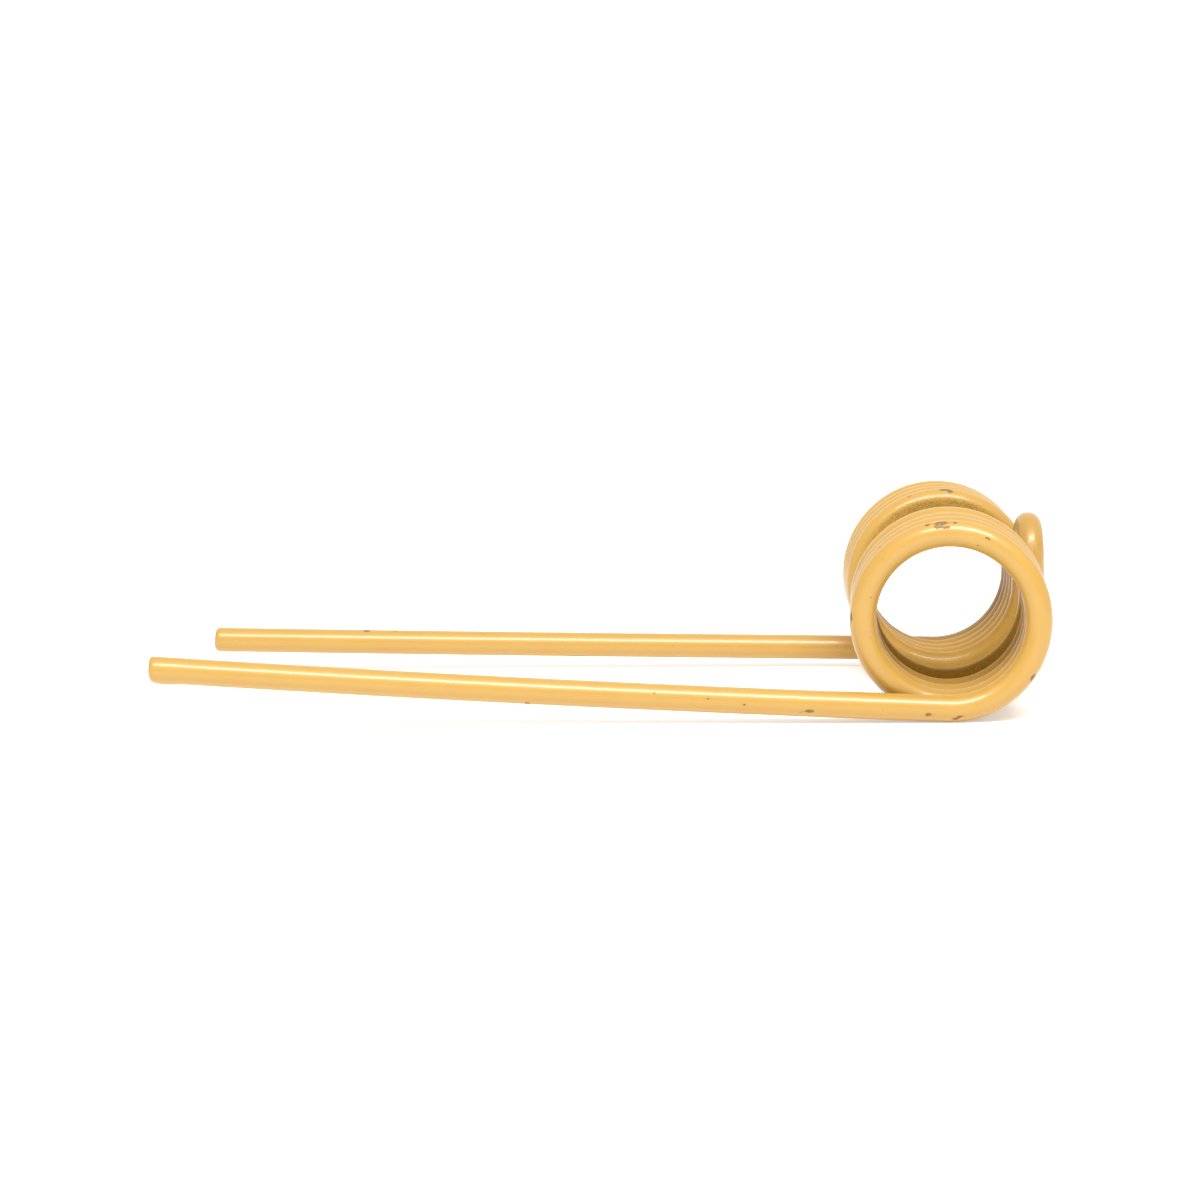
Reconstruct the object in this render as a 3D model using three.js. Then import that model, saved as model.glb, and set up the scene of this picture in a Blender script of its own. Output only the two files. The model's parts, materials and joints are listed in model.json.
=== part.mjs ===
import * as THREE from 'three';

// A double-torsion spring tine for a hay tedder or rake. The real tine is one length of round,
// painted spring-steel wire: a mounting loop in the middle, a close-wound torsion coil on each
// side of it, and a straight leg leaving the outer end of each coil. The wire is divided here
// into the zones that turn by different amounts when a leg is pushed: the loop stays with the
// machine, every turn of a coil takes its share of the twist, and the leg takes all of it.
//
// Frame: +X runs from the leg tips to the mounting loop, +Y from the front coil to the rear
// coil, +Z up. The origin is below the middle of the tine, on the surface that it lies on.
// The rear coil's axis runs exactly along +Y, and until the tine is complete it is the origin.

// Driving dimensions, in millimetres and degrees.
const WIRE_DIAMETER = 9.5;
const COIL_RADIUS = 31.25; // coil axis to the centre of the wire
const WHOLE_TURNS = 4; // each coil adds a quarter turn to these before its leg leaves it
const TURN_CLEARANCE = 0.38; // between the sides of neighbouring turns
const ZONE_CLEARANCE = 0.75; // along the wire, between one zone and the next
const COIL_START = 20.4; // middle plane to the wire's centre where a close-wound coil starts
const LOOP_HEIGHT = 24.1; // rear coil axis to the wire's centre at the crown of the loop
const LEG_LENGTH = 285.3; // along the wire, from the end of the coil to the cut tip
const LEG_SETTLE = 28.5; // over about this length a leg loses the coil's slope and runs straight
// The halves of a cold-formed tine are never quite alike. The rear coil is wound close from its
// start. The front coil's first turns stand open towards the middle, by spread at the loop and
// by nothing after spreadTurns, and its axis is tilted (outer end down), turned (outer end
// towards the tips) and off the rear coil's by shift. lift is the leg's angle above the
// horizontal where it leaves the coil, and rise what its slight upward curve adds at the tip.
const SIDES = [
  {
    name: 'front',
    sign: -1,
    spread: 16.2,
    spreadTurns: 1.6,
    tilt: 1.6,
    turn: 3.25,
    shift: new THREE.Vector3(-0.9, 0, -1.15),
    lift: 2.4,
    rise: 4.4,
  },
  {
    name: 'rear',
    sign: 1,
    spread: 0,
    spreadTurns: 1,
    tilt: 0,
    turn: 0,
    shift: new THREE.Vector3(),
    lift: 0.86,
    rise: 1.3,
  },
];

// Fineness of the solids.
const WIRE_FLATS = 12;
const STEPS_PER_TURN = 32;
const LOOP_STEPS = 20;
const LEG_STEPS = 14;

// Worked out from the driving dimensions.
const WIRE_RADIUS = WIRE_DIAMETER / 2;
const PITCH = WIRE_DIAMETER + TURN_CLEARANCE;
const END_CUT = ZONE_CLEARANCE / 2;
const TURN_CUT = END_CUT / (2 * Math.PI * COIL_RADIUS); // END_CUT as a part of a turn

const PAINT = new THREE.MeshStandardMaterial({ color: 0xf2b53c, roughness: 0.32, metalness: 0 });

// The centre line of a stretch of wire. place(t) gives its points for t from 0 to 1, and
// facing(t) the direction that one flat of the section faces.
class WireLine extends THREE.Curve {
  constructor(place, facing) {
    super();
    this.place = place;
    this.facing = facing;
  }

  getPoint(t, target = new THREE.Vector3()) {
    return target.copy(this.place(t));
  }

  computeFrenetFrames(segments) {
    const frames = { tangents: [], normals: [], binormals: [] };
    for (let step = 0; step <= segments; step += 1) {
      const t = this.getUtoTmapping(step / segments);
      const tangent = this.getTangent(t);
      const normal = this.facing(t).projectOnPlane(tangent).normalize();
      frames.tangents.push(tangent);
      frames.normals.push(normal);
      frames.binormals.push(new THREE.Vector3().crossVectors(tangent, normal));
    }
    return frames;
  }
}

// The wire's section: a regular polygon whose flats touch the round wire.
function wireSection() {
  const corner = WIRE_RADIUS / Math.cos(Math.PI / WIRE_FLATS);
  const corners = [];
  for (let i = 0; i < WIRE_FLATS; i += 1) {
    const angle = (2 * Math.PI * (i + 0.5)) / WIRE_FLATS;
    corners.push(new THREE.Vector2(corner * Math.cos(angle), corner * Math.sin(angle)));
  }
  return new THREE.Shape(corners);
}

function wireMesh(name, line, steps) {
  const geometry = new THREE.ExtrudeGeometry(wireSection(), { steps, extrudePath: line });
  const mesh = new THREE.Mesh(geometry, PAINT.clone());
  mesh.name = name;
  return mesh;
}

// A side's own tilt and turn, about the start of its coil's axis.
function lean(side, vector) {
  return vector
    .applyAxisAngle(new THREE.Vector3(1, 0, 0), THREE.MathUtils.degToRad(side.tilt))
    .applyAxisAngle(new THREE.Vector3(0, 0, 1), THREE.MathUtils.degToRad(-side.turn));
}

// The direction away from the coil axis after a number of turns from the loop.
function awayFromAxis(side, turns) {
  const angle = 2 * Math.PI * turns;
  return lean(side, new THREE.Vector3(Math.cos(angle), 0, -Math.sin(angle)));
}

// A point of a coil's centre line after a number of turns from the loop. Both coils wind down
// from the loop, in opposite hands.
function coilPoint(side, turns) {
  const open = Math.max(0, 1 - turns / side.spreadTurns);
  const along = new THREE.Vector3(0, side.sign * (PITCH * turns - side.spread * open ** 2), 0);
  return awayFromAxis(side, turns)
    .multiplyScalar(COIL_RADIUS)
    .add(lean(side, along))
    .add(side.shift)
    .add(new THREE.Vector3(0, side.sign * COIL_START, 0));
}

// The direction in which the wire arrives at a point of a coil, on its way to the leg.
function coilHeading(side, turns) {
  const before = coilPoint(side, turns - TURN_CUT);
  return coilPoint(side, turns + TURN_CUT).sub(before).normalize();
}

// The stretch of a coil between two turn counts, less the clearance at its ends.
function coilLine(side, fromTurns, toTurns) {
  const turnsAt = (t) => THREE.MathUtils.lerp(fromTurns + TURN_CUT, toTurns - TURN_CUT, t);
  return new WireLine(
    (t) => coilPoint(side, turnsAt(t)),
    (t) => awayFromAxis(side, turnsAt(t)),
  );
}

// The loop: from each coil the wire goes on up in the coil's own slope, as a short straight
// arm, and a round crown joins the two arms.
function loopLine() {
  const [front, rear] = SIDES.map((side) => {
    const start = coilPoint(side, 0);
    const heading = coilHeading(side, 0);
    const lean = Math.atan2(side.sign * heading.y, -heading.z); // towards the middle, going up
    return { start, lean };
  });
  const rise = (arm) => (LOOP_HEIGHT - arm.start.z) * Math.tan(arm.lean);
  const share = (arm) => (1 - Math.sin(arm.lean)) / Math.cos(arm.lean);
  const room = rear.start.y - front.start.y - rise(front) - rise(rear);
  const radius = room / (share(front) + share(rear));
  const height = LOOP_HEIGHT - radius;
  const middle = front.start.y + rise(front) + radius * share(front);
  const armLength = (arm) =>
    (height - arm.start.z + radius * Math.sin(arm.lean)) / Math.cos(arm.lean);
  const frontLength = armLength(front);
  const crownLength = radius * (Math.PI - front.lean - rear.lean);
  const wholeLength = frontLength + crownLength + armLength(rear);

  const place = (t) => {
    const along = THREE.MathUtils.lerp(END_CUT, wholeLength - END_CUT, t);
    const x = THREE.MathUtils.lerp(front.start.x, rear.start.x, along / wholeLength);
    if (along < frontLength) {
      const y = front.start.y + along * Math.sin(front.lean);
      return new THREE.Vector3(x, y, front.start.z + along * Math.cos(front.lean));
    }
    if (along > frontLength + crownLength) {
      const left = wholeLength - along;
      const y = rear.start.y - left * Math.sin(rear.lean);
      return new THREE.Vector3(x, y, rear.start.z + left * Math.cos(rear.lean));
    }
    const angle = front.lean + (along - frontLength) / radius;
    const y = middle - radius * Math.cos(angle);
    return new THREE.Vector3(x, y, height + radius * Math.sin(angle));
  };
  return new WireLine(place, () => new THREE.Vector3(1, 0, 0));
}

// The turn count at which a side's wire points along its leg's lift.
function exitTurns(side) {
  return WHOLE_TURNS + 0.25 + side.lift / 360;
}

// A leg, from the end of its coil to its cut tip.
function legLine(side) {
  const start = coilPoint(side, exitTurns(side));
  const heading = coilHeading(side, exitTurns(side));
  const lift = Math.tan(THREE.MathUtils.degToRad(side.lift));
  const place = (t) => {
    const along = THREE.MathUtils.lerp(END_CUT, LEG_LENGTH, t);
    const across = heading.y * LEG_SETTLE * (1 - Math.exp(-along / LEG_SETTLE));
    const upward = lift * along + side.rise * (along / LEG_LENGTH) ** 2;
    return new THREE.Vector3(-along, across, upward).add(start);
  };
  return new WireLine(place, () => new THREE.Vector3(0, 0, -1));
}

function buildSide(side) {
  const group = new THREE.Group();
  for (let turn = 1; turn <= WHOLE_TURNS; turn += 1) {
    const name = `${side.name}_coil_turn_${turn}`;
    group.add(wireMesh(name, coilLine(side, turn - 1, turn), STEPS_PER_TURN));
  }
  const lastQuarter = coilLine(side, WHOLE_TURNS, exitTurns(side));
  group.add(wireMesh(`${side.name}_coil_exit`, lastQuarter, STEPS_PER_TURN / 4));
  group.add(wireMesh(`${side.name}_leg`, legLine(side), LEG_STEPS));
  return group;
}

const tine = new THREE.Group();
tine.name = 'spring_tine';
tine.add(wireMesh('mounting_loop', loopLine(), LOOP_STEPS));
for (const side of SIDES) {
  tine.add(buildSide(side));
}
const box = new THREE.Box3().setFromObject(tine, true);
const middle = box.getCenter(new THREE.Vector3());
tine.position.set(-middle.x, -middle.y, -box.min.z);

export default tine;
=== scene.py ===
"""The looks of a double-torsion spring tine: one painted wire, drawn zone by zone on its CAD frame."""
import json
import math

import bpy
import numpy as np
from mathutils import Matrix, Vector


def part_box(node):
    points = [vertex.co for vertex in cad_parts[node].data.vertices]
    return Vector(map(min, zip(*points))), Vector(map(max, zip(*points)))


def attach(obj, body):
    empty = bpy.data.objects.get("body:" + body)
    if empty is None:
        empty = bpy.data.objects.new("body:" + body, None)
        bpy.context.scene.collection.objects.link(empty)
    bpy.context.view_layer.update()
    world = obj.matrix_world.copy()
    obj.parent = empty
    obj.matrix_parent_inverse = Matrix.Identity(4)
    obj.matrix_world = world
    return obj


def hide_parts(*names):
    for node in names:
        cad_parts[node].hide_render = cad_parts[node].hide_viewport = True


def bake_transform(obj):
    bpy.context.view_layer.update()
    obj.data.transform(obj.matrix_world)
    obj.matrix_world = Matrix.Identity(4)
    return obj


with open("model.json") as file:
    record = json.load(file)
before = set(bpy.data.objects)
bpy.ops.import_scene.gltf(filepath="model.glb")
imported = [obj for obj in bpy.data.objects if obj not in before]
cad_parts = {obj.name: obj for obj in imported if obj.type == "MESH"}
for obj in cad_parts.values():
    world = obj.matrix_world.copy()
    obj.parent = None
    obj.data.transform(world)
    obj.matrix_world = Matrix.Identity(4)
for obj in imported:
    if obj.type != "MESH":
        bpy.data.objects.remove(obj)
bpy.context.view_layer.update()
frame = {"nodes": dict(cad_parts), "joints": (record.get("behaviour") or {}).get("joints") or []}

MM = 0.001
TAU = 2 * math.pi
WHOLE_TURNS = 4
FLATS = 12  # of the CAD wire's section
CAD_STEPS = 32  # CAD sections per turn
SETTLE = 28.5 * MM  # over about this length a leg loses the coil's slope

# ---------------------------------------------------------------- the wire's line, from the frame


def cad_points(node):
    """The corners of a CAD node's mesh, each once."""
    corners = np.array([v.co for v in frame["nodes"][node].data.vertices])
    return np.unique(corners.round(7), axis=0)


def unit(rows):
    return rows / np.linalg.norm(rows, axis=-1, keepdims=True)


class Side:
    """One half of the tine: its coil's axis, how the coil is wound, and its leg."""

    def __init__(self, name, sign):
        self.name, self.sign = name, sign
        joint = next(j for j in frame["joints"] if j["name"] == f"{name}_leg_flex")
        self.pivot = np.array(joint["pos_m"])
        self.axis = unit(np.array(joint["axis"]))
        across = unit(np.array([self.axis[1], -self.axis[0], 0]))
        self.basis = np.array([across, self.axis, np.cross(across, self.axis)])
        self.measure_coil()
        self.measure_leg()

    def cad_turn(self, turn):
        """A CAD turn's stations: turns from the loop and distance along the axis, for each."""
        local = (cad_points(f"{self.name}_coil_turn_{turn}") - self.pivot) @ self.basis.T
        angle = np.mod(np.arctan2(-local[:, 2], local[:, 0]) / TAU, 1)
        station = np.mod(np.round(angle * CAD_STEPS), CAD_STEPS)
        inner = range(2, CAD_STEPS - 1)  # not the ends, which both lie at the same angle
        along = [self.sign * local[station == step, 1].mean() for step in inner]
        return turn - 1 + np.array(inner) / CAD_STEPS, np.array(along)

    def measure_coil(self):
        self.pitch, self.start = np.polyfit(*self.cad_turn(WHOLE_TURNS), 1)
        turns, along = self.cad_turn(1)
        missing = np.sqrt(np.clip(self.start + self.pitch * turns - along, 0, None))
        slope, first = np.polyfit(turns, missing, 1)
        open_start = first**2 > MM
        self.spread = first**2 if open_start else 0.0
        self.spread_turns = -first / slope if open_start else 1.0

    def measure_leg(self):
        corners = cad_points(f"{self.name}_leg")
        corners = corners[np.argsort(-corners[:, 0])]
        centres = corners.reshape(-1, FLATS, 3).mean(axis=1)
        run = centres[0, 0] - centres[:, 0]
        slope = np.polyfit(run, centres[:, 2], 2)[1]
        self.coil_end = WHOLE_TURNS + 0.25 + math.atan(slope) / TAU
        self.leg_start = self.coil_line(np.array([self.coil_end]))[0][0]
        run = self.leg_start[0] - centres[:, 0]
        self.leg_length = run.max()
        self.leg_heights = np.polyfit(run, centres[:, 2] - self.leg_start[2], 2)
        self.leg_drift = self.heading(self.coil_end)[1]

    def coil_line(self, turns):
        """Centres and outward directions of the coil's wire at these turns from the loop."""
        angle = TAU * turns[:, None]
        outward = np.cos(angle) * self.basis[0] - np.sin(angle) * self.basis[2]
        along = self.start + self.pitch * turns - self.opening(turns)
        centres = self.pivot + COIL_RADIUS * outward + self.sign * along[:, None] * self.axis
        return centres, outward

    def opening(self, turns):
        """How far the wire stands off the close-wound helix, towards the loop."""
        return self.spread * np.clip(1 - turns / self.spread_turns, 0, None) ** 2

    def heading(self, turns):
        """The direction in which the wire runs there, on its way to the leg."""
        points, _ = self.coil_line(turns + np.array([-0.001, 0.001]))
        return unit(points[1] - points[0])

    def leg_line(self, run):
        """Centres and outward directions of the leg at these distances from its coil."""
        drift = self.leg_drift * SETTLE * (1 - np.exp(-run / SETTLE))
        rise = np.polyval(self.leg_heights, run) - self.leg_heights[-1]
        centres = self.leg_start + np.column_stack([-run, drift, rise])
        return centres, np.tile([0.0, 0.0, -1.0], (len(run), 1))


loop_low, loop_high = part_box("mounting_loop")
coil_low, coil_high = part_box(f"rear_coil_turn_{WHOLE_TURNS}")
RADIUS = (loop_high.x - loop_low.x) / 2  # of the wire
COIL_RADIUS = (coil_high.x - coil_low.x) / 2 - RADIUS  # coil axis to the wire's centre
FRONT = Side("front", -1)
REAR = Side("rear", 1)
SIDES = {"front": FRONT, "rear": REAR}
PITCH = REAR.pitch
REAR_PIVOT = Vector(REAR.pivot)  # a point of the rear coil's axis; the camera is placed from it


class Arm:
    """One of the loop's two straight arms, going up from its coil's start."""

    def __init__(self, side):
        self.start = side.coil_line(np.zeros(1))[0][0]
        heading = side.heading(0.0)
        self.lean = math.atan2(side.sign * heading[1], -heading[2])  # towards the middle
        climb = loop_high.z - RADIUS - self.start[2]
        self.reach = climb * math.tan(self.lean)
        self.share = (1 - math.sin(self.lean)) / math.cos(self.lean)


FRONT_ARM, REAR_ARM = Arm(FRONT), Arm(REAR)
LOOP_ROOM = REAR_ARM.start[1] - FRONT_ARM.start[1] - FRONT_ARM.reach - REAR_ARM.reach
CROWN_RADIUS = LOOP_ROOM / (FRONT_ARM.share + REAR_ARM.share)
CROWN_Y = FRONT_ARM.start[1] + FRONT_ARM.reach + CROWN_RADIUS * FRONT_ARM.share
CROWN_Z = loop_high.z - RADIUS - CROWN_RADIUS
for arm in (FRONT_ARM, REAR_ARM):
    climb = CROWN_Z - arm.start[2] + CROWN_RADIUS * math.sin(arm.lean)
    arm.length = climb / math.cos(arm.lean)
CROWN_LENGTH = CROWN_RADIUS * (math.pi - FRONT_ARM.lean - REAR_ARM.lean)
LOOP_LENGTH = FRONT_ARM.length + CROWN_LENGTH + REAR_ARM.length


def loop_line(run):
    """Centres and outward directions of the loop, from the front coil to the rear one."""
    x = FRONT_ARM.start[0] + (REAR_ARM.start[0] - FRONT_ARM.start[0]) * run / LOOP_LENGTH
    left = LOOP_LENGTH - run
    angle = FRONT_ARM.lean + (run - FRONT_ARM.length) / CROWN_RADIUS
    parts = [run < FRONT_ARM.length, left < REAR_ARM.length]
    y = [
        FRONT_ARM.start[1] + run * math.sin(FRONT_ARM.lean),
        REAR_ARM.start[1] - left * math.sin(REAR_ARM.lean),
    ]
    z = [
        FRONT_ARM.start[2] + run * math.cos(FRONT_ARM.lean),
        REAR_ARM.start[2] + left * math.cos(REAR_ARM.lean),
    ]
    y = np.select(parts, y, CROWN_Y - CROWN_RADIUS * np.cos(angle))
    z = np.select(parts, z, CROWN_Z + CROWN_RADIUS * np.sin(angle))
    return np.column_stack([x, y, z]), np.tile([1.0, 0.0, 0.0], (len(run), 1))


# ---------------------------------------------------------------- camera

LENS = 91.61  # focal length in millimetres, on a sensor 36 mm wide
CAMERA_PLACE = Vector((-92.59, -1137.75, 158.22)) * MM  # from the rear coil's pivot
PAN, TILT, ROLL = math.radians(1.878), math.radians(-8.013), math.radians(-0.738)


def make_camera():
    """A long lens in front of the tine, a little above it and to the left of the coils."""
    data = bpy.data.cameras.new("camera")
    camera = bpy.data.objects.new("camera", data)
    bpy.context.scene.collection.objects.link(camera)
    bpy.context.scene.camera = camera
    data.sensor_width = 36
    data.lens = LENS
    data.clip_start = 0.05
    data.clip_end = 30
    turn = Matrix.Rotation(PAN, 4, "Z") @ Matrix.Rotation(math.pi / 2 + TILT, 4, "X")
    camera.matrix_world = (
        Matrix.Translation(REAR_PIVOT + CAMERA_PLACE)
        @ turn
        @ Matrix.Rotation(ROLL, 4, "Z")
    )


# ---------------------------------------------------------------- the wire's surface

FILLET = 0.5 * MM  # radius of the paint that fills the valley between two touching turns
TOUCH = 0.6 * MM  # turns further apart than this have no paint bridging their valley
QUARTERS = ((0, 1), (0, -1), (180, 1), (180, -1))
FINE_ANGLES = (64, 66.5, 68.5, 70, 71.5, 73, 74.5, 75.5, 76.5, 79)
FINE_RING = [half_turn + sign * angle for angle in FINE_ANGLES for half_turn, sign in QUARTERS]
AROUND = np.radians(sorted({angle % 360 for angle in [*np.arange(0, 360, 7.5), *FINE_RING]}))
STEP = 1.0 * MM  # between rings
SWELL = 0.03 * MM  # most that the paint's thickness changes along and around the wire
TIP_ZONE = 20 * MM  # the length of leg beside a tip that its cut can shape
WALL = 0.998  # of half the pitch: a valley's walls stop this near to the turn beside them
TURN_LENGTH = math.hypot(TAU * COIL_RADIUS, PITCH)
# How each leg is cut off: the corner's radius at the top and at the underside, how far a run of
# paint hangs below the wire there, and how far the cut leans back towards the top.
TIPS = {
    "front": {"top": 0.35, "under": 1.5, "run": 0.5, "lean": 0.0},
    "rear": {"top": 0.8, "under": 0.7, "run": 0.1, "lean": 0.2},
}


def side_stations(side):
    """A side's stations from the loop to the tip, and the last station of each of its zones.

    A station is a centre, the outward direction, the length along the wire and the turn count,
    which runs on along the leg.
    """
    turns = np.linspace(0, side.coil_end, round(side.coil_end * TURN_LENGTH / STEP))
    marks = [*range(1, WHOLE_TURNS + 1), side.coil_end]
    turns = np.unique(np.append(turns, marks))
    run = np.linspace(0, side.leg_length, round(side.leg_length / STEP))[1:]
    coil_centres, coil_outward = side.coil_line(turns)
    leg_centres, leg_outward = side.leg_line(run)
    centres = np.vstack([coil_centres, leg_centres])
    outward = np.vstack([coil_outward, leg_outward])
    steps = np.linalg.norm(np.diff(centres, axis=0), axis=1)
    along = LOOP_LENGTH / 2 + np.concatenate([[0], np.cumsum(steps)])
    turns = np.concatenate([turns, side.coil_end + run / TURN_LENGTH])
    ends = [int(np.argmin(abs(turns - mark))) for mark in marks]
    return centres, outward, along, turns, [*ends, len(centres) - 1]


def whole_wire():
    """The stations of the whole wire from the front tip over the loop to the rear tip."""
    front_centres, front_outward, front_along, front_turns, front_ends = side_stations(FRONT)
    rear_centres, rear_outward, rear_along, rear_turns, rear_ends = side_stations(REAR)
    run = np.linspace(0, LOOP_LENGTH, round(LOOP_LENGTH / STEP))
    loop_centres, loop_outward = loop_line(run[1:-1])
    centres = np.vstack([front_centres[::-1], loop_centres, rear_centres])
    outward = np.vstack([front_outward[::-1], loop_outward, rear_outward])
    along = np.concatenate([-front_along[::-1], run[1:-1] - LOOP_LENGTH / 2, rear_along])
    loop_turns = (abs(run[1:-1] - LOOP_LENGTH / 2) - LOOP_LENGTH / 2) / TURN_LENGTH
    turns = np.concatenate([front_turns[::-1], loop_turns, rear_turns])
    tangent = unit(np.gradient(centres, along, axis=0))
    outward = unit(outward - (outward * tangent).sum(axis=1)[:, None] * tangent)
    inward = np.cross(tangent, outward)  # towards the middle plane, all along the wire
    loop_start = len(front_centres) - 1
    loop_end = loop_start + len(loop_centres) + 1
    zones = {"mounting_loop": (loop_start, loop_end)}
    names = [f"coil_turn_{turn}" for turn in range(1, WHOLE_TURNS + 1)] + ["coil_exit", "leg"]
    for name, low, high in zip(names, [0, *front_ends], front_ends):
        zones[f"front_{name}"] = (loop_start - high, loop_start - low)
    for name, low, high in zip(names, [0, *rear_ends], rear_ends):
        zones[f"rear_{name}"] = (loop_end + low, loop_end + high)
    return centres, tangent, outward, inward, along, turns, zones


def on_coil(side, turns):
    """The length along the wire, signed by side, at a number of turns from the loop."""
    half = SIDES[side]
    fine = np.linspace(0, turns, 400)
    length = np.linalg.norm(np.diff(half.coil_line(fine)[0], axis=0), axis=1).sum()
    return half.sign * (LOOP_LENGTH / 2 + length)


def on_leg(side, run):
    """The length along the wire, signed by side, at a distance in millimetres along the leg."""
    return on_coil(side, SIDES[side].coil_end) + SIDES[side].sign * run * MM


# Paint chips: place along the wire, angle round it in degrees (0 away from the coil axis, or under
# a leg, 90 towards the middle plane), length and width in millimetres, and tone from 0, plain
# primer, to 1, primer rubbed through to the steel in spots.
CHIPS = [
    (on_coil("rear", 0.757), 20, 4.0, 1.7, 0.4),
    (on_coil("rear", 0.765), 33, 1.8, 1.6, 0.0),
    (on_coil("rear", 0.695), 24, 1.1, 1.3, 0.0),
    (on_coil("front", 3.735), -29, 4.4, 1.9, 0.3),
    (on_coil("front", 3.730), -46, 2.6, 2.0, 0.9),
    (on_coil("front", 3.742), -56, 3.2, 1.0, 0.5),
    (on_coil("front", 3.712), -27, 1.9, 1.2, 0.0),
    (on_coil("front", 3.756), -30, 1.4, 1.3, 0.0),
    (on_coil("front", 3.815), -72, 1.9, 0.8, 0.3),
    (on_coil("front", 3.803), -116, 0.6, 0.6, 0.2),
    (on_coil("front", 2.625), -30, 0.6, 0.7, 0.2),
    (on_coil("front", 3.548), -110, 0.5, 0.5, 0.2),
    (on_coil("front", 3.466), -120, 0.5, 0.5, 0.2),
    (on_coil("front", 4.144), -142, 0.6, 0.5, 0.2),
    (on_coil("front", 3.505), -29, 3.2, 1.3, 0.2),
    (on_coil("front", 4.096), -42, 2.8, 1.9, 0.4),
    (on_coil("front", 4.243), -52, 2.4, 1.6, 0.2),
    (on_coil("front", 4.236), -62, 1.8, 1.1, 0.2),
    (on_leg("front", 7.0), -69, 2.5, 1.4, 0.3),
    (on_leg("front", 49.2), -64, 3.0, 1.5, 0.2),
    (on_leg("front", 52.0), -58, 1.2, 0.9, 0.0),
    (on_leg("front", 72.4), -82, 0.9, 0.8, 0.0),
    (on_leg("front", 85.4), -101, 0.9, 0.8, 0.0),
    (on_leg("front", 104.6), -116, 0.9, 0.7, 0.0),
    (on_leg("front", 149.8), -32, 2.4, 1.6, 0.2),
    (on_leg("rear", 225.0), 163, 2.6, 1.6, 0.1),
    (on_leg("rear", 213.5), 165, 1.2, 1.0, 0.0),
    (on_leg("rear", 268.0), 12, 2.2, 1.6, 0.2),
    (on_leg("rear", 141.0), 22, 9.0, 1.1, 0.9),
    (on_leg("rear", 30.0), -40, 2.4, 1.5, 0.2),
    (on_coil("rear", 3.62), -35, 3.0, 1.8, 0.3),
    (on_coil("rear", 2.20), 10, 1.6, 1.2, 0.0),
]


def smooth(low, high, x):
    """0 at low, 1 at high and a smooth step between them, whichever of the two is larger."""
    t = np.clip((x - low) / (high - low), 0, 1)
    return t * t * (3 - 2 * t)


def tip_shape(side, to_tip, around):
    """How far a leg's surface stands out from the round wire near its tip, and how far back."""
    tip = TIPS[side]
    under = (1 + np.cos(around)) / 2
    corner = MM * (tip["top"] + (tip["under"] - tip["top"]) * under)
    depth = np.clip(corner - to_tip, 0, corner)
    rounding = corner - np.sqrt(corner**2 - depth**2)
    run = under**3 * smooth(0, 5 * MM, to_tip) * smooth(13 * MM, 5 * MM, to_tip)
    set_back = MM * tip["lean"] * (1 - under) * smooth(4 * MM, 0, to_tip)
    return MM * tip["run"] * run - rounding, set_back


def on_coils(turns):
    """1 on the coils, fading out where the loop and the leg start."""
    return smooth(-0.02, 0.05, turns) * smooth(4.25, 4.05, turns)


def shelter_of(along, around, turns, met):
    """How little of the sprayed paint and light reached each point: 0 in the open, 1 in the gap."""
    gap_side = 0.5 * smooth(0.6, 1.0, np.sin(around)) * smooth(1.2, 0.8, turns)
    bore = 0.6 * smooth(0.0, 0.7, -np.cos(around))
    bore *= np.where(along < 0, smooth(3.7, 1.6, turns), 0.85)  # the front coil's mouth is open
    slit = open_slit(along, around, turns)
    valley = 0.95 * smooth(0.86, 0.94, abs(np.sin(around))) * met
    coils = np.maximum(np.maximum(gap_side, bore), np.maximum(slit, valley))
    return np.maximum(coils * on_coils(turns), 0.3 * smooth(0.1, -0.02, turns))


def open_slit(along, around, turns):
    """1 on the faces of the slit that stands open beside the front coil's first turn."""
    outer_face = smooth(0.0, 0.6, -np.sin(around)) * smooth(0.62, 0.45, turns)
    inner_face = smooth(0.3, 0.8, np.sin(around)) * smooth(1.0, 1.1, turns) * smooth(2.6, 1.7, turns)
    return np.maximum(outer_face, inner_face) * (along < 0) * smooth(-0.02, 0.02, turns)


def grime_and_shade_of(along, around, turns, met):
    """How much grit and dry overspray has gathered, and how much painted shade darkens the paint: in
    the valleys, and deep in the loop's gap.
    """
    inner = smooth(-0.2, 0.6, -np.cos(around))
    valley = smooth(0.74, 0.93, abs(np.sin(around))) * met * (0.12 + 0.68 * inner)
    face = smooth(0.86, 1.03, np.sin(around)) * smooth(1.1, 0.9, turns)
    top = smooth(0.5, 0.65, turns) + 0.7 * smooth(0.22, 0.05, turns)
    face = face * np.where(along > 0, top, 0.8)
    slit = 0.85 * open_slit(along, around, turns) * smooth(0.38, 0.18, turns)
    coils = np.maximum(np.maximum(valley, face), slit) * on_coils(turns)
    return np.maximum(coils, loop_grime(turns))


def loop_grime(turns):
    """The loop is peppered with grit, most of all over its crown."""
    return (0.28 + 0.20 * smooth(-0.04, -0.10, turns)) * smooth(0.05, -0.03, turns)


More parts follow.
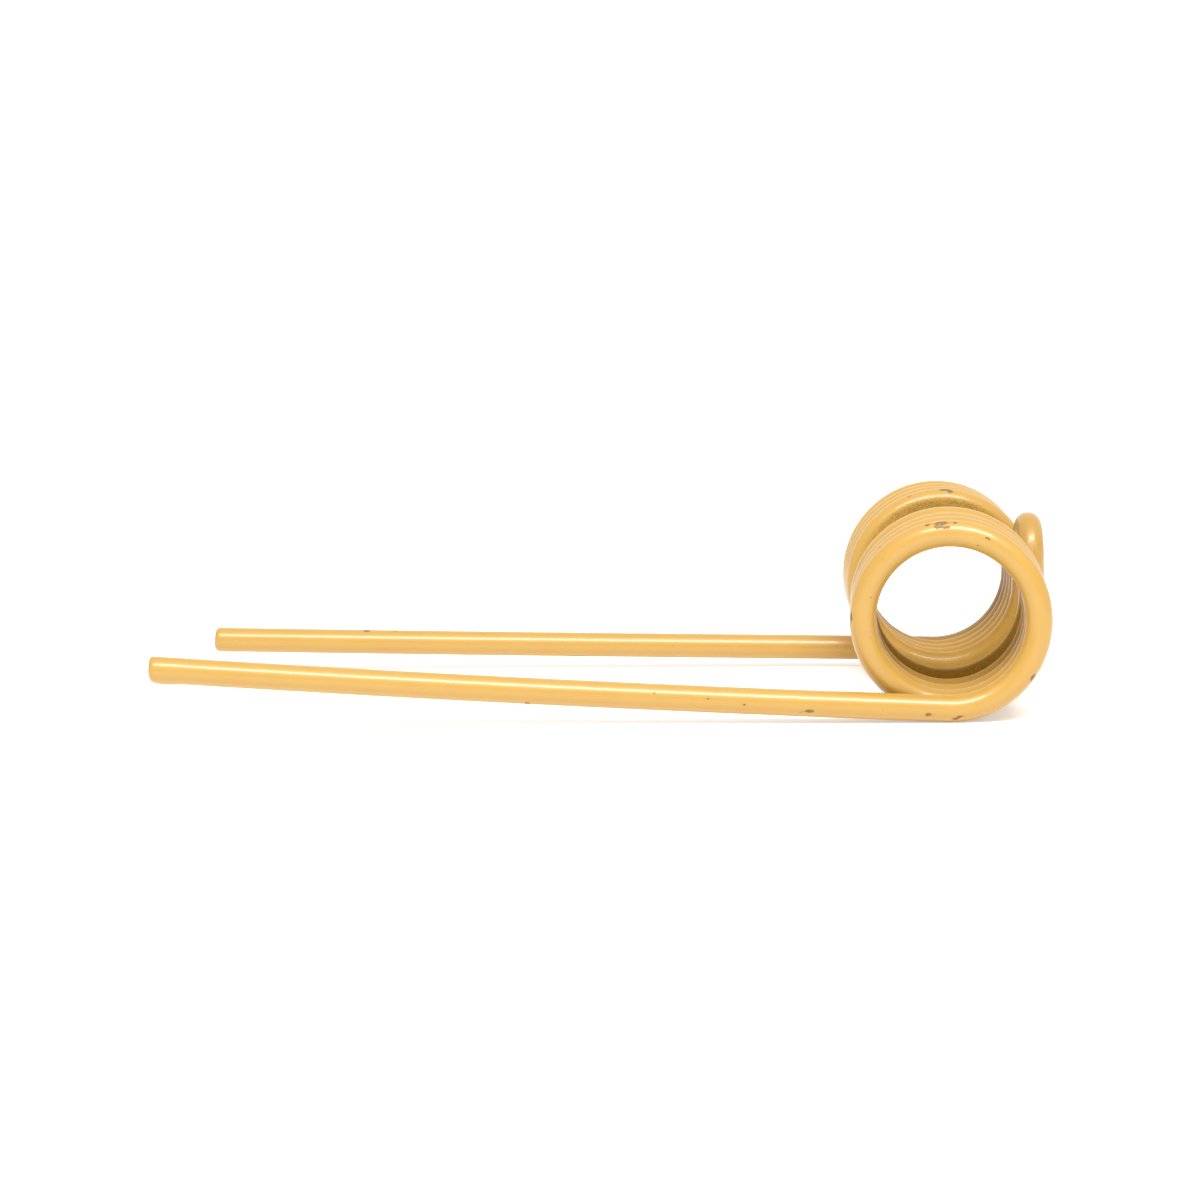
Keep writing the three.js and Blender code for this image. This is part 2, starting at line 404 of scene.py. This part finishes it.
def valley_fill(side, turns, around):
    """How far the paint in the valleys beside touching turns stands out from the round wire.

    Also whether there is such a valley at all, from 0 to 1.
    """
    towards_loop = np.sin(around) > 0
    neighbour = np.where(towards_loop, turns - 1, turns + 1)
    apart = abs(side.opening(neighbour) - side.opening(turns))
    met = smooth(TOUCH, TOUCH / 2, apart) * smooth(-0.02, 0.02, neighbour)
    met *= smooth(-0.03, 0.0, turns)
    met *= smooth(side.coil_end + 0.02, side.coil_end - 0.01, np.maximum(turns, neighbour))
    half = side.pitch / 2
    height = math.sqrt((RADIUS + FILLET) ** 2 - half**2)
    tangent, bottom = math.atan2(half, height), math.atan2(half, height - FILLET)
    tilt = np.arcsin(np.clip(abs(np.sin(around)), 0, 1))  # 0 at top and bore, 90 degrees at a side
    sideways, up = np.sin(tilt), np.cos(tilt)
    reach = sideways * half + up * height
    fillet = reach - np.sqrt(np.clip(reach**2 - half**2 - height**2 + FILLET**2, 0, None))
    wall = half * WALL / np.maximum(sideways, 0.5)
    fill = np.where(tilt > bottom, wall, np.where(tilt > tangent, fillet, RADIUS)) - RADIUS
    return fill * met, met


def chip_field(along, around):
    """Millimetres to the edge of the nearest paint chip, below 0 inside it, and its tone."""
    nearest = np.full(along.shape, 9.0)
    tone = np.zeros(along.shape)
    for place, angle, length, width, shade in CHIPS:
        lengthwise = (along - place) / MM
        turned = np.mod(around - math.radians(angle) + math.pi, TAU) - math.pi
        crosswise = turned * RADIUS / MM
        apart = 2 * np.hypot(lengthwise / length, crosswise / width)
        distance = (apart - 1) * min(length, width) / 2
        tone = np.where(distance < nearest, shade, tone)
        nearest = np.minimum(nearest, distance)
    return nearest, tone


def wire_surface():
    """The whole wire's surface as a grid of rings, its facts at each point, and the zones."""
    centres, tangent, outward, inward, along, turns, zones = whole_wire()
    along, around = np.meshgrid(along, AROUND, indexing="ij")
    turns = np.repeat(turns[:, None], len(AROUND), axis=1)
    swell = np.zeros(along.shape)
    set_back = np.zeros(along.shape)
    valleys = np.zeros(along.shape)
    for side, half in SIDES.items():
        sign = half.sign
        end = abs(along[-1 if sign > 0 else 0, 0])
        near_tip = (along * sign > 0) & (end - abs(along) < TIP_ZONE)
        out, back = tip_shape(side, np.clip(end - along * sign, 0, None), around)
        swell = np.where(near_tip, out, swell)
        set_back = np.where(near_tip, -sign * back, set_back)
        fill, met = valley_fill(half, turns, around)
        swell += np.where(along * sign > 0, fill, 0)
        valleys += np.where(along * sign > 0, met, 0)
    swell += paint_swell(along, around)
    radial = (
        np.cos(around)[..., None] * outward[:, None] + np.sin(around)[..., None] * inward[:, None]
    )
    points = centres[:, None] + (RADIUS + swell)[..., None] * radial
    points += set_back[..., None] * tangent[:, None]
    facts = {
        "wire": np.stack([along, RADIUS * np.cos(around), RADIUS * np.sin(around)], -1) / MM,
        "shelter": shelter_of(along, around, turns, valleys),
        "grime_and_shade": grime_and_shade_of(along, around, turns, valleys),
        "slit": open_slit(along, around, turns),
    }
    facts["chip"], facts["chip_tone"] = chip_field(along, around)
    return close_tips(points, facts, zones)


def paint_swell(along, around):
    """Slow changes in the thickness of the paint, in metres."""
    waves = np.zeros(along.shape)
    for pace, lobes, shift in ((0.21, 1, 0.3), (0.34, 2, 1.9), (0.57, 3, 4.1), (0.83, 2, 5.2)):
        waves += np.sin(pace * along / MM + shift) * np.cos(lobes * around + 3 * shift) / 4
    return SWELL * waves


def close_tips(points, facts, zones):
    """Adds the flat cut face to both tips as rings that shrink to the middle."""
    shares = [0.75, 0.5, 0.25, 0.02]
    for end in (0, -1):
        middle = points[end].mean(axis=0)
        rings = [middle + (points[end] - middle) * share for share in shares]
        order = rings[::-1] if end == 0 else rings
        points = np.concatenate([order, points] if end == 0 else [points, order])
        for name, values in facts.items():
            copies = np.repeat(values[[end]], len(shares), axis=0)
            facts[name] = np.concatenate([copies, values] if end == 0 else [values, copies])
    zones = {name: (low + len(shares), high + len(shares)) for name, (low, high) in zones.items()}
    zones["front_leg"] = (0, zones["front_leg"][1])
    zones["rear_leg"] = (zones["rear_leg"][0], len(points) - 1)
    return points, facts, zones


def grid_normals(points):
    """Outward normals of the wire's surface from its neighbouring points."""
    lengthwise = np.gradient(points, axis=0)
    crosswise = np.roll(points, -1, axis=1) - np.roll(points, 1, axis=1)
    normals = np.cross(crosswise, lengthwise)
    normals /= np.maximum(np.linalg.norm(normals, axis=2), 1e-15)[..., None]
    return normals


def zone_piece(name, points, normals, facts, low, high):
    """One zone of the wire as a closed mesh whose ends meet its neighbours' ends exactly."""
    rows = high - low + 1
    corner = np.arange(rows * len(AROUND)).reshape(rows, len(AROUND))
    near, far = corner[:-1], corner[1:]
    sides = np.stack([near, far, np.roll(far, -1, axis=1), np.roll(near, -1, axis=1)], -1)
    faces = [*sides.reshape(-1, 4)[:, ::-1].tolist(), corner[0].tolist(), corner[-1][::-1].tolist()]
    mesh = bpy.data.meshes.new(name)
    mesh.from_pydata(points[low : high + 1].reshape(-1, 3).tolist(), [], faces)
    for fact, values in facts.items():
        kind = "FLOAT_VECTOR" if values.ndim == 3 else "FLOAT"
        key = "vector" if values.ndim == 3 else "value"
        attribute = mesh.attributes.new(fact, kind, "POINT")
        attribute.data.foreach_set(key, values[low : high + 1].astype(np.float32).ravel())
    mesh.shade_smooth()
    mesh.normals_split_custom_set_from_vertices(normals[low : high + 1].reshape(-1, 3).tolist())
    piece = bpy.data.objects.new(name, mesh)
    bpy.context.scene.collection.objects.link(piece)
    return piece


# ---------------------------------------------------------------- materials


class Nodes:
    """Short calls for building one material's node tree."""

    def __init__(self, name):
        self.material = bpy.data.materials.new(name)
        self.material.use_nodes = True
        self.tree = self.material.node_tree
        self.shader = self.tree.nodes["Principled BSDF"]

    def put(self, socket, value):
        if isinstance(value, bpy.types.NodeSocket):
            self.tree.links.new(value, socket)
        else:
            socket.default_value = value

    def add(self, kind, inputs=(), **settings):
        node = self.tree.nodes.new(kind)
        for key, value in settings.items():
            setattr(node, key, value)
        for key, value in dict(inputs).items():
            self.put(node.inputs[key], value)
        return node

    def fact(self, name):
        """The node that reads one of the facts stored on the wire's mesh."""
        return self.add("ShaderNodeAttribute", attribute_name=name)

    def math(self, operation, a, b=0.0, clamp=False):
        node = self.add("ShaderNodeMath", {0: a, 1: b}, operation=operation, use_clamp=clamp)
        return node.outputs[0]

    def stretch(self, vector, scale):
        node = self.add("ShaderNodeVectorMath", {0: vector, 1: scale}, operation="MULTIPLY")
        return node.outputs[0]

    def noise(self, vector, scale, detail=2.0, roughness=0.5, distortion=0.0):
        inputs = {
            "Vector": vector,
            "Scale": scale,
            "Detail": detail,
            "Roughness": roughness,
            "Distortion": distortion,
        }
        return self.add("ShaderNodeTexNoise", inputs).outputs["Fac"]

    def ramp(self, value, low, high, to_low=0.0, to_high=1.0):
        """to_low where value is at low, to_high at high and a smooth step between them."""
        inputs = {0: value, 1: low, 2: high, 3: to_low, 4: to_high}
        node = self.add("ShaderNodeMapRange", inputs, interpolation_type="SMOOTHSTEP")
        return node.outputs[0]

    def mix(self, share, a, b):
        node = self.add("ShaderNodeMix", {0: share, 6: a, 7: b}, data_type="RGBA")
        return node.outputs[2]

    def bump(self, height, distance, below=None):
        inputs = {"Height": height, "Distance": distance, "Strength": 1.0}
        if below is not None:
            inputs["Normal"] = below
        return self.add("ShaderNodeBump", inputs).outputs["Normal"]


# Linear colours.
PAINT = (0.463, 0.259, 0.034, 1)
PAINT_DEEP = (0.448, 0.244, 0.030, 1)  # in slow patches and streaks
PAINT_THIN_AND_SHADED = (0.36, 0.205, 0.022, 1)  # in shelter: thin dry paint, darkened as painted shade in the hollows
PAINT_SHADE_AND_GRIME = (0.34, 0.172, 0.012, 1)  # painted shade in the open slit, and dirt with painted shade in the valleys and gaps
GRIT = (0.13, 0.070, 0.013, 1)
PRIMER = (0.17, 0.088, 0.020, 1)
BARE = (0.34, 0.205, 0.070, 1)  # spots of dulled metal in a chip


def paint_material():
    """Glossy yellow enamel, dry and gritty where the spray didn't reach, with chips."""
    n = Nodes("yellow_enamel")
    wire = n.fact("wire").outputs["Vector"]
    shelter = n.fact("shelter").outputs["Fac"]

    # colour: slow drift, faint lengthwise streaks, then thin paint with painted shade in shelter,
    # painted shade in the slit and valleys, and grit
    drift = n.noise(wire, 0.07, 3, 0.6)
    streak = n.noise(n.stretch(wire, (0.03, 1, 1)), 1.1, 3, 0.6)
    depth = n.math("ADD", n.math("MULTIPLY", drift, 0.6), n.math("MULTIPLY", streak, 0.4))
    colour = n.mix(n.ramp(depth, 0.35, 0.7), PAINT, PAINT_DEEP)
    patch = n.noise(wire, 0.35, 4, 0.65)
    # thin dry paint and painted shade: sheltered places in the bore, gap and valleys darkened towards
    # a duller brown
    thin_and_shade = n.math("MULTIPLY", shelter, n.ramp(patch, 0.25, 0.65, 0.6, 1.0), clamp=True)
    colour = n.mix(n.math("MULTIPLY", thin_and_shade, 0.7), colour, PAINT_THIN_AND_SHADED)
    # painted shade: the faces of the open slit darkened to a deep brown
    colour = n.mix(n.math("MULTIPLY", n.fact("slit").outputs["Fac"], 0.72), colour, PAINT_SHADE_AND_GRIME)
    # dirt and painted shade: the valleys, the deep gap face and the slit darkened towards deep brown,
    # with grit specks where it gathers
    grime_and_shade = n.fact("grime_and_shade").outputs["Fac"]
    colour = n.mix(n.math("MULTIPLY", grime_and_shade, 0.5), colour, PAINT_SHADE_AND_GRIME)
    fine = n.noise(wire, 1.9, 4, 0.75)
    reach = n.math("ADD", fine, n.math("MULTIPLY", grime_and_shade, 0.22))
    speck = n.ramp(n.math("ADD", reach, n.math("MULTIPLY", patch, 0.3)), 0.855, 0.95)
    speck = n.math("MULTIPLY", speck, n.ramp(grime_and_shade, 0.02, 0.3))
    colour = n.mix(n.math("MULTIPLY", speck, 0.68), colour, GRIT)
    fleck = n.ramp(n.noise(wire, 0.9, 1, 0.4), 0.785, 0.80)
    colour = n.mix(n.math("MULTIPLY", fleck, 0.45), colour, GRIT)

    # chips: the stored distance to each chip's edge, made ragged
    ragged = n.math("MULTIPLY", n.math("SUBTRACT", n.noise(wire, 1.3, 4, 0.7), 0.5), 1.3)
    edge = n.math("ADD", n.fact("chip").outputs["Fac"], ragged)
    chip = n.ramp(edge, 0.08, -0.08)
    tone = n.fact("chip_tone").outputs["Fac"]
    metal = n.mix(n.ramp(n.noise(wire, 2.2, 3, 0.6), 0.4, 0.6), PRIMER, BARE)
    colour = n.mix(chip, colour, n.mix(tone, PRIMER, metal))
    n.put(n.shader.inputs["Base Color"], colour)

    # gloss: a broad sheen under a thin, smoother skin, both lost in shelter
    open_air = n.math("SUBTRACT", 1.0, n.ramp(shelter, 0.15, 0.85), clamp=True)
    rough = n.ramp(n.noise(wire, 0.5, 3, 0.6), 0.3, 0.7, 0.38, 0.44)
    rough = n.math("ADD", rough, n.math("MULTIPLY", chip, 0.25), clamp=True)
    n.put(n.shader.inputs["Roughness"], rough)
    n.put(n.shader.inputs["Specular IOR Level"], n.ramp(open_air, 0, 1, 0.06, 0.7))
    painted = n.math("SUBTRACT", 1.0, chip)
    skin = n.math("MULTIPLY", n.ramp(open_air, 0, 1, 0.0, 0.36), painted)
    n.put(n.shader.inputs["Coat Weight"], skin)
    n.shader.inputs["Coat Roughness"].default_value = 0.13

    # relief: orange peel, wrinkles and grit in shelter, and the chips' sunken floors
    peel = n.noise(wire, 0.55, 2, 0.5)
    wrinkle = n.math("MULTIPLY", n.noise(wire, 1.4, 3, 0.6, 0.6), shelter)
    grain = n.math("SUBTRACT", 1.0, speck)
    relief = n.bump(peel, 0.015 * MM)
    relief = n.bump(wrinkle, 0.35 * MM, relief)
    relief = n.bump(grain, 0.06 * MM, relief)
    relief = n.bump(painted, 0.12 * MM, relief)
    n.put(n.shader.inputs["Normal"], relief)
    return n.material


# ---------------------------------------------------------------- the tine


def build_tine():
    """Every zone of the wire as its own piece, in place of its CAD node."""
    points, facts, zones = wire_surface()
    normals = grid_normals(points)
    enamel = paint_material()
    for name, (low, high) in zones.items():
        piece = zone_piece(f"{name}_wire", points, normals, facts, low, high)
        piece.data.materials.append(enamel)
        side = name.split("_")[0]
        if name == "mounting_loop":
            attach(piece, "loop")
        elif name.endswith("_leg"):
            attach(piece, f"{side}_leg")
        else:
            twist(piece)
        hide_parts(name)


def twist(piece):
    """Bakes the coil piece's placement into its mesh; nothing here turns it with the leg."""
    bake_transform(piece)


# ---------------------------------------------------------------- floor and light


def plain_material(name, colour, roughness, glow):
    """A plain pale surface, lit a little from behind like a light table."""
    n = Nodes(name)
    mottle = n.noise(n.add("ShaderNodeTexCoord").outputs["Object"], 3.0, 3, 0.5)
    shade = n.mix(n.ramp(mottle, 0.3, 0.7), colour, tuple(0.985 * c for c in colour[:3]) + (1,))
    n.put(n.shader.inputs["Base Color"], shade)
    n.shader.inputs["Roughness"].default_value = roughness
    n.shader.inputs["Specular IOR Level"].default_value = 0.1
    n.shader.inputs["Emission Color"].default_value = (1, 1, 1, 1)
    n.shader.inputs["Emission Strength"].default_value = glow
    return n.material


def make_floor():
    """A pale studio sweep: a flat floor that curves up into a wall far behind the tine."""
    half_width, front, bend, radius, top = 6.0, -4.0, 3.0, 1.5, 4.0
    curve = [(front, 0.0), (bend, 0.0)]
    for step in range(1, 13):
        angle = math.pi / 2 * step / 12
        curve.append((bend + radius * math.sin(angle), radius * (1 - math.cos(angle))))
    curve.append((bend + radius, top))
    vertices = [(x, y, z) for y, z in curve for x in (-half_width, half_width)]
    faces = [(2 * i, 2 * i + 1, 2 * i + 3, 2 * i + 2) for i in range(len(curve) - 1)]
    mesh = bpy.data.meshes.new("studio_sweep")
    mesh.from_pydata(vertices, [], faces)
    mesh.shade_smooth()
    mesh.materials.append(plain_material("pale_floor", (0.86, 0.86, 0.86, 1), 0.9, glow=0.32))
    sweep = bpy.data.objects.new("studio_sweep", mesh)
    bpy.context.scene.collection.objects.link(sweep)


def softbox(name, place, size, power):
    """An area light of that size in metres, aimed at the tine."""
    data = bpy.data.lights.new(name, "AREA")
    data.shape = "RECTANGLE"
    data.size, data.size_y = size
    data.energy = power
    light = bpy.data.objects.new(name, data)
    bpy.context.scene.collection.objects.link(light)
    light.location = place
    aim = Vector((0, 0, 0.03)) - Vector(place)
    light.rotation_euler = aim.to_track_quat("-Z", "Y").to_euler()


def make_light():
    world = bpy.data.worlds.new("studio")
    bpy.context.scene.world = world
    world.use_nodes = True
    world.node_tree.nodes["Background"].inputs["Color"].default_value = (1, 1, 1, 1)
    world.node_tree.nodes["Background"].inputs["Strength"].default_value = 0.88
    softbox("strip", (0.15, -1.0, 1.6), (1.6, 0.52), 42)
    bpy.context.scene.view_settings.view_transform = "Standard"


make_camera()
make_light()
make_floor()
build_tine()
